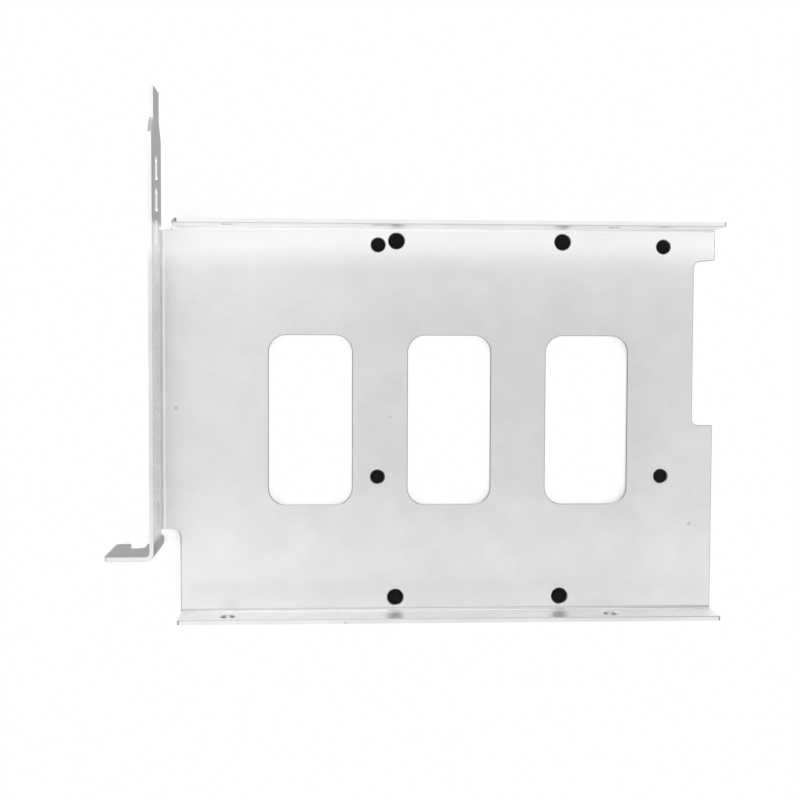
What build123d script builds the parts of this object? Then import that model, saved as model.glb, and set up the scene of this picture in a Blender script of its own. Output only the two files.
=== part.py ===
from build123d import *
import os

# Bracket that holds one 3.5 inch or one 2.5 inch drive on an expansion slot, folded from one sheet.
# X runs from the slot plate to the plug end of the drive, Y along the slot plate, and Z up.
# The origin is the middle of the four 3.5 inch screw holes, on the upper face of the tray.

# Sheet
sheet = 1.2
bend_radius = 1.0
outer_bend = bend_radius + sheet
corner_radius = 2.0
cut_radius = 0.8
edge_break = 0.2

# 3.5 inch drive: two rows of screws under it, and two screws in each side
large_width = 101.6
large_rows = 44.45
large_spread = 95.25
large_end_to_row = 41.28
large_hole = 4.2
side_holes = 101.6
side_end_to_hole = 28.5
side_height = 6.35
side_hole = 4.0

# 2.5 inch drive: two rows of screws under it, with the plug end flush with the 3.5 inch one
small_rows = 76.6
small_spread = 61.72
small_end_to_row = 14.0
small_offset = 15.7
small_hole = 3.7

# Tray: the floor, and a flange folded up along each side of the drive
tray_length = 142.9
side_clearance = 0.4
flange_height = 10.8
flange_corner = 0.8
flange_lead = 1.8
lead_height = 2.5
tray_end = large_rows / 2 + large_end_to_row
tray_start = tray_end - tray_length
flange_face = large_width / 2 + side_clearance
flange_back = flange_face + sheet

# Windows in the floor, the middle one placed from the plug end
window_count = 3
window_setback = 71.5
window_pitch = 37.0
window_length = 22.1
window_width = 45.2
window_radius = 4.5

# Recess in the plug end of the floor
recess_depth = 5.6
recess_low = -1.4
recess_high = 42.5
recess_slant = 0.6
recess_radius = 1.6

# Slot plate: the cover of one expansion slot, with a tongue at one end and a screw tab at the other
slot_gap = 4.8
slot_length = 120.02
slot_width = 18.42
tongue_width = 10.19
tongue_length = 7.9
tongue_radius = 0.4
slot_face = tray_start - slot_gap
slot_back = slot_face - sheet
slot_low = -sheet
slot_high = slot_low + slot_width
slot_middle = (slot_low + slot_high) / 2
shoulder = (slot_width - tongue_width) / 2

# Screw tab, folded outwards, with an open notch for the screw
tab_face = -34.8
tab_length = 11.43
tab_width = 21.59
tab_radius = 1.0
notch_width = 4.42
notch_depth = 7.3
notch_inset = 5.4
tab_seat = tab_face + sheet
tongue_end = tab_face + slot_length
tab_low = slot_high - tab_width
tab_end = slot_back - tab_length
tab_fold = tab_face + outer_bend
fold_straight = 0.5
ear_straight = 1.4
ear_radius = 1.0
ear_top = tab_fold + ear_straight

# Fold between the floor and the slot plate, freed by a small relief at each end
fold_low = -29.0
fold_high = flange_face - bend_radius
relief_width = 1.2
relief_depth = 1.2
slit_width = 0.6

# Row of vents in the slot plate
vent_count = 12
vent_pitch = 8.05
vent_length = 5.9
vent_width = 6.0
vent_radius = 1.2
vent_first = 68.0


def folded(section, outside, inside, length):
    """Strip of the sheet between its outer and inner faces, with a round fold along each corner."""
    with BuildPart() as strip:
        with BuildSketch(section):
            with BuildLine():
                Polyline(*outside, *reversed(inside), close=True)
            make_face()
        extrude(amount=length)
        for corners, radius in ((outside, outer_bend), (inside, bend_radius)):
            for corner in corners[1:-1]:
                along = strip.edges().filter_by(Axis(section.origin, section.z_dir))
                fillet(along.sort_by_distance(section.from_local_coords(corner))[0], radius)
    return strip.part


def rims(faces, start):
    """Edges that bound the side of the sheet that runs smoothly on from one of its faces."""
    owners = {}
    for face in faces:
        for edge in face.edges():
            owners.setdefault(edge, []).append(face)
    side, found = [start], []
    for face in side:
        for edge in face.edges():
            point = edge @ 0.5
            for other in owners[edge]:
                if face.normal_at(point).get_angle(other.normal_at(point)) > 1:
                    found.append(edge)
                elif other not in side:
                    side.append(other)
    return ShapeList(found)


with BuildPart() as drive_bracket:
    # Tray: the floor with a flange folded up along each side
    low, high = -sheet, flange_height
    outside = [(-flange_back, high), (-flange_back, low), (flange_back, low), (flange_back, high)]
    inside = [(-flange_face, high), (-flange_face, 0), (flange_face, 0), (flange_face, high)]
    start = tray_start - flange_lead - bend_radius
    add(folded(Plane.YZ.offset(start), outside, inside, tray_end - start))

    # Its end beside the slot plate: square at one flange, and at the other a round inner corner in
    # the fold, from which the flange's end leans back to its top
    with BuildSketch(Plane.XY.offset(-sheet)):
        with Locations((start, fold_low)):
            Rectangle(tray_start - start, large_width, align=(Align.MIN, Align.MAX))
        with Locations((start, fold_high)):
            Rectangle(bend_radius - cut_radius, large_width, align=(Align.MIN, Align.MIN))
        with Locations((start + bend_radius - cut_radius, fold_high + cut_radius)):
            Circle(cut_radius)
            Rectangle(cut_radius, large_width, align=(Align.MIN, Align.MIN))
    extrude(amount=sheet + flange_height, mode=Mode.SUBTRACT)
    with BuildSketch(Plane.XZ.offset(-flange_back)):
        with BuildLine():
            Polyline(
                (start, lead_height),
                (tray_start - flange_lead, lead_height),
                (tray_start, flange_height),
                (start, flange_height),
                close=True,
            )
        make_face()
    extrude(amount=sheet, mode=Mode.SUBTRACT)
    flange_ends = drive_bracket.edges().filter_by(Axis.Y).group_by(Axis.Z)[-1]
    fillet(flange_ends, flange_corner)

    # Fold from the floor up into the slot plate, with a round inner corner in the floor
    outside = [(slot_back, slot_middle), (slot_back, -sheet), (tray_start, -sheet)]
    inside = [(slot_face, slot_middle), (slot_face, 0), (tray_start, 0)]
    add(folded(Plane.XZ.offset(-fold_high), outside, inside, fold_high - fold_low))
    inner_corner = drive_bracket.edges().filter_by(Axis.Z).sort_by_distance((tray_start, fold_low, 0))[0]
    fillet(inner_corner, corner_radius)

    # Slot plate, cut away along the fold, with a relief at each end of the fold
    with BuildSketch(Plane.YZ.offset(slot_face)) as slot_outline:
        with BuildLine():
            Polyline(
                (fold_high, bend_radius),
                (fold_high, bend_radius + relief_depth),
                (fold_high + slit_width, bend_radius + relief_depth),
                (fold_high + slit_width, slot_low),
                (tongue_end - tongue_length - shoulder, slot_low),
                (tongue_end - tongue_length, slot_low + shoulder),
                (tongue_end, slot_low + shoulder),
                (tongue_end, slot_high - shoulder),
                (tongue_end - tongue_length, slot_high - shoulder),
                (tongue_end - tongue_length - shoulder, slot_high),
                (tab_fold, slot_high),
                (tab_fold, tab_low),
                (ear_top, tab_low),
                (fold_low - relief_width, bend_radius),
                (fold_low - relief_width, bend_radius + relief_depth),
                (fold_low, bend_radius + relief_depth),
                (fold_low, bend_radius),
                close=True,
            )
        make_face()
        fillet(slot_outline.vertices().group_by(Axis.X)[-1], tongue_radius)
    extrude(amount=-sheet)
    ear_corner = drive_bracket.edges().filter_by(Axis.X).sort_by_distance((slot_face, ear_top, tab_low))[0]
    fillet(ear_corner, ear_radius)

    # Screw tab
    tab_top = tab_fold + fold_straight
    outside = [(slot_face, tab_top), (slot_face, tab_face), (tab_end, tab_face)]
    inside = [(slot_back, tab_top), (slot_back, tab_seat), (tab_end, tab_seat)]
    add(folded(Plane.XY.offset(tab_low), outside, inside, tab_width))
    tab_corners = drive_bracket.edges().filter_by(Axis.Y).group_by(Axis.X)[0]
    fillet(tab_corners, tab_radius)
    with BuildSketch(Plane.XZ.offset(-tab_face)):
        with Locations((slot_back - notch_inset, tab_low + notch_depth - notch_width / 2)):
            Circle(notch_width / 2)
            Rectangle(notch_width, notch_depth, align=(Align.CENTER, Align.MAX))
    extrude(amount=-sheet, mode=Mode.SUBTRACT)

    # Vents in the slot plate
    with BuildSketch(Plane.YZ.offset(slot_face)):
        row_middle = vent_first - (vent_length + vent_pitch * (vent_count - 1)) / 2
        with Locations((row_middle, slot_middle)):
            with GridLocations(vent_pitch, 0, vent_count, 1):
                RectangleRounded(vent_length, vent_width, vent_radius)
    extrude(amount=-sheet, mode=Mode.SUBTRACT)

    # Windows in the floor
    with BuildSketch(Plane.XY):
        with Locations((tray_end - window_setback, 0)):
            with GridLocations(window_pitch, 0, window_count, 1):
                RectangleRounded(window_length, window_width, window_radius)
    extrude(amount=-sheet, mode=Mode.SUBTRACT)

    # Screw holes for both drives in the floor, and for the larger one in the flanges
    with Locations(Plane.XY):
        with GridLocations(large_rows, large_spread, 2, 2):
            Hole(large_hole / 2)
    with Locations((tray_end - small_end_to_row - small_rows / 2, small_offset, 0)):
        with GridLocations(small_rows, small_spread, 2, 2):
            Hole(small_hole / 2)
    with BuildSketch(Plane.XZ.offset(flange_back)):
        with Locations((tray_end - side_end_to_hole - side_holes / 2, side_height)):
            with GridLocations(side_holes, 0, 2, 1):
                Circle(side_hole / 2)
    extrude(amount=-2 * flange_back, mode=Mode.SUBTRACT)

    # Recess in the plug end
    with BuildSketch() as recess:
        with BuildLine():
            Polyline(
                (tray_end, recess_low),
                (tray_end - recess_depth, recess_low),
                (tray_end - recess_depth, recess_high),
                (tray_end, recess_high + recess_slant),
                close=True,
            )
        make_face()
        fillet(recess.vertices().group_by(Axis.X)[0], recess_radius)
    extrude(amount=-sheet, mode=Mode.SUBTRACT)

    # Rims broken on the side of the sheet that faces the drive
    floor_faces = drive_bracket.faces().filter_by(Axis.Z).sort_by(SortBy.AREA)[-2:]
    chamfer(rims(drive_bracket.faces(), floor_faces.sort_by(Axis.Z)[-1]), edge_break)

drive_bracket.part.label = "drive_bracket"
os.makedirs("parts", exist_ok=True)
export_step(drive_bracket.part, "parts/drive_bracket.step")
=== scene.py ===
import math
import bpy
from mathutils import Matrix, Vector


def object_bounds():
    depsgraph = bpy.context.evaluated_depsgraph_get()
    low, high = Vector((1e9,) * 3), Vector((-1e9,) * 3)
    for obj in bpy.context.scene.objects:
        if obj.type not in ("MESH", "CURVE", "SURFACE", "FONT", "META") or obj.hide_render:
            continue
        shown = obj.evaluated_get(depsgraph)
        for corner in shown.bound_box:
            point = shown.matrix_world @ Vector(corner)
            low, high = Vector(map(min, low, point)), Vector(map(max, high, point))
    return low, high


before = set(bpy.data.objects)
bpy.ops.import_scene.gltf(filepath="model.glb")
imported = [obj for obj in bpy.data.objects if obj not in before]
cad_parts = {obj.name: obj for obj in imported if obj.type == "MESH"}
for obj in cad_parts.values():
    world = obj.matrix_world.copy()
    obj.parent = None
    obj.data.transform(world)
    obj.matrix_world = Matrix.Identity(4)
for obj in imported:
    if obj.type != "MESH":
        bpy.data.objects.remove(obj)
cad_low, cad_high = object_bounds()

# Camera: stands above the open side of the bracket, over its middle, and tips a little towards the
# plug end and the tab, so the inner faces of the slot plate and of both flanges show.
camera_place = (-0.04178, 0.02343, 0.35698)
camera_turn = (-2.899, -3.297, 0.214)
camera_lens = 60.39

camera = bpy.data.objects.new("camera", bpy.data.cameras.new("camera"))
camera.location = camera_place
camera.rotation_euler = [math.radians(angle) for angle in camera_turn]
camera.data.lens = camera_lens
camera.data.clip_start = 0.01
camera.data.clip_end = 10.0
bpy.context.scene.collection.objects.link(camera)
bpy.context.scene.camera = camera

# Bracket: one blank of cold rolled steel, punched flat, plated bright, and then folded four times.
# The plating is softly clouded over a faint grain from the rolling. Its colour also holds painted
# reflections, bright by the folds and darker in the middle, painted shade on the broken rims and bends, and
# painted dark reflections on the inner faces of the tongue and the tab.
# The plating colours below carry painted reflections and painted shade as well as the plating's own tone
plating_and_painted_highlight = (0.985, 0.985, 0.980, 1.0)
plating_and_painted_dark_reflection = (0.655, 0.655, 0.658, 1.0)
painted_inner_reflection = (0.33, 0.33, 0.334, 1.0)
painted_rim_shade = (0.43, 0.43, 0.435, 1.0)
speck_colour = (0.30, 0.29, 0.28, 1.0)
glancing_tint = (0.90, 0.90, 0.90, 1.0)
grain_scale = (60.0, 900.0, 900.0)
wave_height = 0.0003
slot_face = -0.0842
slot_fold_middle = 0.0106


class Socket:
    """Output of a shader node, which takes part in sums as a number does."""

    def __init__(self, nodes, output):
        self.nodes = nodes
        self.output = output

    def sum_with(self, other, operation, swapped=False):
        values = [other, self] if swapped else [self, other]
        return self.nodes.add("ShaderNodeMath", {"operation": operation}, values)

    def __add__(self, other):
        return self.sum_with(other, "ADD")

    def __sub__(self, other):
        return self.sum_with(other, "SUBTRACT")

    def __rsub__(self, other):
        return self.sum_with(other, "SUBTRACT", swapped=True)

    def __mul__(self, other):
        return self.sum_with(other, "MULTIPLY")

    __radd__ = __add__
    __rmul__ = __mul__


class Nodes:
    """Node tree of one material, or of the room."""

    def __init__(self, owner):
        owner.use_nodes = True
        self.tree = owner.node_tree
        self.tree.nodes.clear()

    def add(self, kind, settings=None, values=(), output=0):
        """Adds a node with its settings, gives its sockets values or links, and returns one output."""
        node = self.tree.nodes.new(kind)
        for name, value in (settings or {}).items():
            if name == "stops":
                ramp = node.color_ramp
                while len(ramp.elements) < len(value):
                    ramp.elements.new(1.0)
                for stop, (place, shade) in zip(ramp.elements, value):
                    stop.position = place
                    stop.color = (shade, shade, shade, 1.0)
            else:
                setattr(node, name, value)
        for key, value in values.items() if isinstance(values, dict) else enumerate(values):
            if isinstance(value, Socket):
                self.tree.links.new(value.output, node.inputs[key])
            else:
                node.inputs[key].default_value = value
        return Socket(self, node.outputs[output]) if node.outputs else node


def rise(value, start, end, height=1.0):
    """Runs smoothly from 0 at the start value to the height at the end value."""
    return value.nodes.add(
        "ShaderNodeMapRange",
        {"interpolation_type": "SMOOTHSTEP"},
        {0: value, 1: start, 2: end, 3: 0.0, 4: height},
    )


def within(value, low, high, soft):
    """Is 1 between two values, and falls to 0 at both over a soft edge."""
    return rise(value, low, low + soft) - rise(value, high - soft, high)


def blended(share, first, second):
    """Mixes two colours, with a share of 1 for the second alone."""
    return share.nodes.add("ShaderNodeMix", {"data_type": "RGBA"}, {0: share, 6: first, 7: second}, 2)


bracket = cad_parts["drive_bracket"]
plated = bpy.data.materials.new("plated_steel")
steel = Nodes(plated)
place = steel.add("ShaderNodeTexCoord", output="Object")
along = steel.add("ShaderNodeSeparateXYZ", values=[place], output="X")
across = steel.add("ShaderNodeSeparateXYZ", values=[place], output="Y")
up = steel.add("ShaderNodeSeparateXYZ", values=[place], output="Z")
facing = steel.add("ShaderNodeNewGeometry", output="Normal")
faces_plug_end = steel.add("ShaderNodeSeparateXYZ", values=[facing], output="X")
faces_tongue = steel.add("ShaderNodeSeparateXYZ", values=[facing], output="Y")
faces_up = steel.add("ShaderNodeSeparateXYZ", values=[facing], output="Z")

# Its tone runs from 0, at its darkest, to 1 in the painted reflections by the folds
clouds = steel.add("ShaderNodeTexNoise", values={0: place, "Scale": 110.0, "Detail": 5.0, "Roughness": 0.6})
drift = steel.add("ShaderNodeTexNoise", values={0: place, "Scale": 26.0, "Detail": 2.0})
along_grain = steel.add("ShaderNodeMapping", values={0: place, "Scale": grain_scale})
grain = steel.add("ShaderNodeTexNoise", values={0: along_grain, "Scale": 1.0, "Detail": 3.0})
# Painted reflections on the floor: bright bands by both folds, darker in the middle, brighter towards its
# ends
painted_floor_reflections = (
    rise(across, 0.022, 0.044, 0.20)
    + rise(across, 0.0385, 0.0485, 0.72)
    + rise(across, -0.010, -0.048, 0.28)
    + rise(along, -0.010, -0.080, 0.26)
    + rise(along, 0.035, 0.064, 0.12)
)
# Painted reflections on the tab-side flange and by the slot plate fold, and less of the floor's on the
# tongue-side flange
tongue_side_flange = rise(across, 0.0506, 0.0513, 0.30)
tab_flange_painted_reflection = rise(across, -0.0504, -0.0511, 0.62) * rise(faces_tongue, 0.20, 0.60)
slot_fold_painted_reflection = rise(along, -0.0785, -0.0825, 0.50) * rise(faces_plug_end, 0.10, 0.40)
painted_fold_reflections = painted_floor_reflections * (1.0 - tongue_side_flange) + tab_flange_painted_reflection + slot_fold_painted_reflection
# The clouds, drift and grain are the plating's own uneven tone
tone_and_painted_reflection = painted_fold_reflections + clouds * 0.38 + drift * 0.23 + grain * 0.05 - 0.30

# Painted dark reflection on the inner faces of the slot plate and the tab past the ends of the fold, and
# painted shade on slanting rims
past_fold = rise((across - slot_fold_middle) * (across - slot_fold_middle), 0.00152, 0.00175)
inner_face = (
    rise(faces_plug_end, 0.5, 0.8) + rise(faces_tongue, 0.5, 0.8)
) * rise(along, -0.0836, slot_face)
# Painted shade on slanting rims and on the slanting parts of the bends
slanting = (
    (rise(faces_up, 0.45, 0.60) - rise(faces_up, 0.94, 0.99))
    * (1.0 - rise(across, 0.0490, 0.0502, 0.35))
    * (1.0 - rise(along, -0.0795, -0.0815, 0.95))
    * (1.0 + rise(across, -0.0500, -0.0504, 0.25))
)
# Painted shade inside the vents, which are also made rougher
in_vent = (
    within(up, 0.0045, 0.0115, 0.0003)
    * within(along, -0.0856, -0.0842, 0.0002)
    * (1.0 - rise(across, 0.0515, 0.0525))
    * (1.0 - rise(faces_plug_end, 0.8, 0.95))
)
# Plating tone with painted reflections, then painted dark reflections inside, then painted shade on rims,
# bends and vents
plating_and_painted_reflection = blended(tone_and_painted_reflection, plating_and_painted_dark_reflection, plating_and_painted_highlight)
shaded = blended(inner_face * past_fold, plating_and_painted_reflection, painted_inner_reflection)
rimmed = blended(slanting + in_vent * 0.10, shaded, painted_rim_shade)
speck_cells = steel.add("ShaderNodeTexVoronoi", values={0: place, "Scale": 75.0, "Randomness": 1.0})
colour = blended(rise(speck_cells, 0.040, 0.022, 0.5), rimmed, speck_colour)

waves = steel.add("ShaderNodeTexNoise", values={0: place, "Scale": 30.0, "Detail": 3.0})
surface = steel.add(
    "ShaderNodeBump",
    values={"Strength": 1.0, "Distance": wave_height, "Height": waves + grain * 0.01},
)
shader = steel.add(
    "ShaderNodeBsdfPrincipled",
    values={
        "Base Color": colour,
        "Metallic": 1.0,
        "Roughness": 0.35 + clouds * 0.06 + grain * 0.02 + in_vent * 0.40,
        "Specular Tint": glancing_tint,
        "Normal": surface,
    },
)
steel.add("ShaderNodeOutputMaterial", values={"Surface": shader})
bracket.data.materials.clear()
bracket.data.materials.append(plated)

# Hole shade: small round black dots under the tray, one closing each of its eight screw holes. They are
# painted shade, a dark sheet put where the holes show only shadow, so the holes look black from above.
dot_level = -0.0013
dot_radius = 0.0024
dot_sides = 24
dot_places = (
    (-0.0222, -0.0476), (0.0222, -0.0476), (-0.0222, 0.0476), (0.0222, 0.0476),
    (-0.0271, -0.0152), (0.0495, -0.0152), (-0.0271, 0.0466), (0.0495, 0.0466),
)
hole_shade_dark = (0.006, 0.006, 0.007, 1.0)
hole_shade_light = (0.022, 0.022, 0.024, 1.0)

dot_mesh = bpy.data.meshes.new("hole_shade_dots")
turns = [2 * math.pi * side / dot_sides for side in range(dot_sides)]
dot_mesh.from_pydata(
    [
        (x + dot_radius * math.cos(turn), y + dot_radius * math.sin(turn), dot_level)
        for x, y in dot_places
        for turn in turns
    ],
    [],
    [[dot * dot_sides + side for side in range(dot_sides)] for dot in range(len(dot_places))],
)
dots = bpy.data.objects.new("hole_shade_dots", dot_mesh)
bpy.context.scene.collection.objects.link(dots)
painted_hole_shade = bpy.data.materials.new("painted_hole_shade")
hole_shade_nodes = Nodes(painted_hole_shade)
hole_shade_mottle = hole_shade_nodes.add("ShaderNodeTexNoise", values={"Scale": 900.0, "Detail": 2.0})
hole_shade_surface = hole_shade_nodes.add("ShaderNodeBsdfDiffuse", values={"Color": blended(hole_shade_mottle, hole_shade_dark, hole_shade_light)})
hole_shade_nodes.add("ShaderNodeOutputMaterial", values={"Surface": hole_shade_surface})
dot_mesh.materials.append(painted_hole_shade)

# Floor: a plain white sheet, laid flat under the bracket. It shows as pure white, and keeps a soft
# shadow close to the bracket.
floor_drop = 0.0001
floor_reach = 3.0
shadow_reach = 0.03
shadow_steps = ((0.0, 0.20), (0.26, 0.66), (0.38, 0.96), (0.50, 1.0))
paper_colour = (0.8, 0.8, 0.8, 1.0)


def backdrop_rays(nodes):
    """Returns the marks of the rays of the camera, and of those that metal mirrors or glass passes."""
    seen = nodes.add("ShaderNodeLightPath", output="Is Camera Ray")
    mirrored = nodes.add("ShaderNodeLightPath", output="Is Glossy Ray")
    passed = nodes.add("ShaderNodeLightPath", output="Is Transmission Ray")
    return seen, mirrored, passed


floor_mesh = bpy.data.meshes.new("floor")
corners = ((-1, -1), (1, -1), (1, 1), (-1, 1))
floor_mesh.from_pydata(
    [(x * floor_reach, y * floor_reach, cad_low.z - floor_drop) for x, y in corners],
    [],
    [(0, 1, 2, 3)],
)
floor = bpy.data.objects.new("floor", floor_mesh)
bpy.context.scene.collection.objects.link(floor)
white_sheet = bpy.data.materials.new("white_sheet")
sheet = Nodes(white_sheet)
openness = sheet.add("ShaderNodeAmbientOcclusion", {"samples": 16}, {"Distance": shadow_reach}, "AO")
shadow = sheet.add("ShaderNodeValToRGB", {"stops": shadow_steps}, {0: openness})
seen, mirrored, passed = backdrop_rays(sheet)
paper = sheet.add("ShaderNodeBsdfDiffuse", values={"Color": paper_colour})
backdrop = sheet.add("ShaderNodeEmission", values={"Color": shadow, "Strength": 1.0})
shown = sheet.add("ShaderNodeMixShader", values={0: seen + mirrored + passed, 1: paper, 2: backdrop})
sheet.add("ShaderNodeOutputMaterial", values={"Surface": shown})
floor_mesh.materials.append(white_sheet)

# Light: a room whose walls are darker than its ceiling, and a soft box along each flange. The camera
# sees the room as plain white, and the metal sees that white only along the edge of the floor.
room_walls = 0.46
room_ceiling = 0.95
wall_foot, wall_top = 0.10, 0.85
floor_edge = 0.03
soft_boxes = {
    "soft_box_tab_side": {"place": (-0.091, -0.980, 0.690), "size": (1.10, 0.87), "power": 4.4},
    "soft_box_tongue_side": {"place": (-0.130, 1.030, 0.600), "size": (0.95, 0.87), "power": 5.4},
}

world = bpy.data.worlds.new("room")
room = Nodes(world)
direction = room.add("ShaderNodeTexCoord")
height = room.add("ShaderNodeSeparateXYZ", values=[direction], output="Z")
walls = room_walls + rise(height, wall_foot, wall_top, room_ceiling - room_walls)
seen, mirrored, passed = backdrop_rays(room)
white_share = seen + passed + mirrored * rise(height, floor_edge, 0.0)
surroundings = room.add(
    "ShaderNodeBackground",
    values={"Color": walls + (1.0 - walls) * white_share, "Strength": 1.0},
)
room.add("ShaderNodeOutputWorld", values={"Surface": surroundings})
bpy.context.scene.world = world

for name, box in soft_boxes.items():
    lamp = bpy.data.objects.new(name, bpy.data.lights.new(name, "AREA"))
    lamp.data.shape = "RECTANGLE"
    lamp.data.size, lamp.data.size_y = box["size"]
    lamp.data.energy = box["power"]
    lamp.location = box["place"]
    lamp.rotation_euler = lamp.location.to_track_quat("Z", "Y").to_euler()
    bpy.context.scene.collection.objects.link(lamp)

bpy.context.scene.view_settings.view_transform = "Standard"
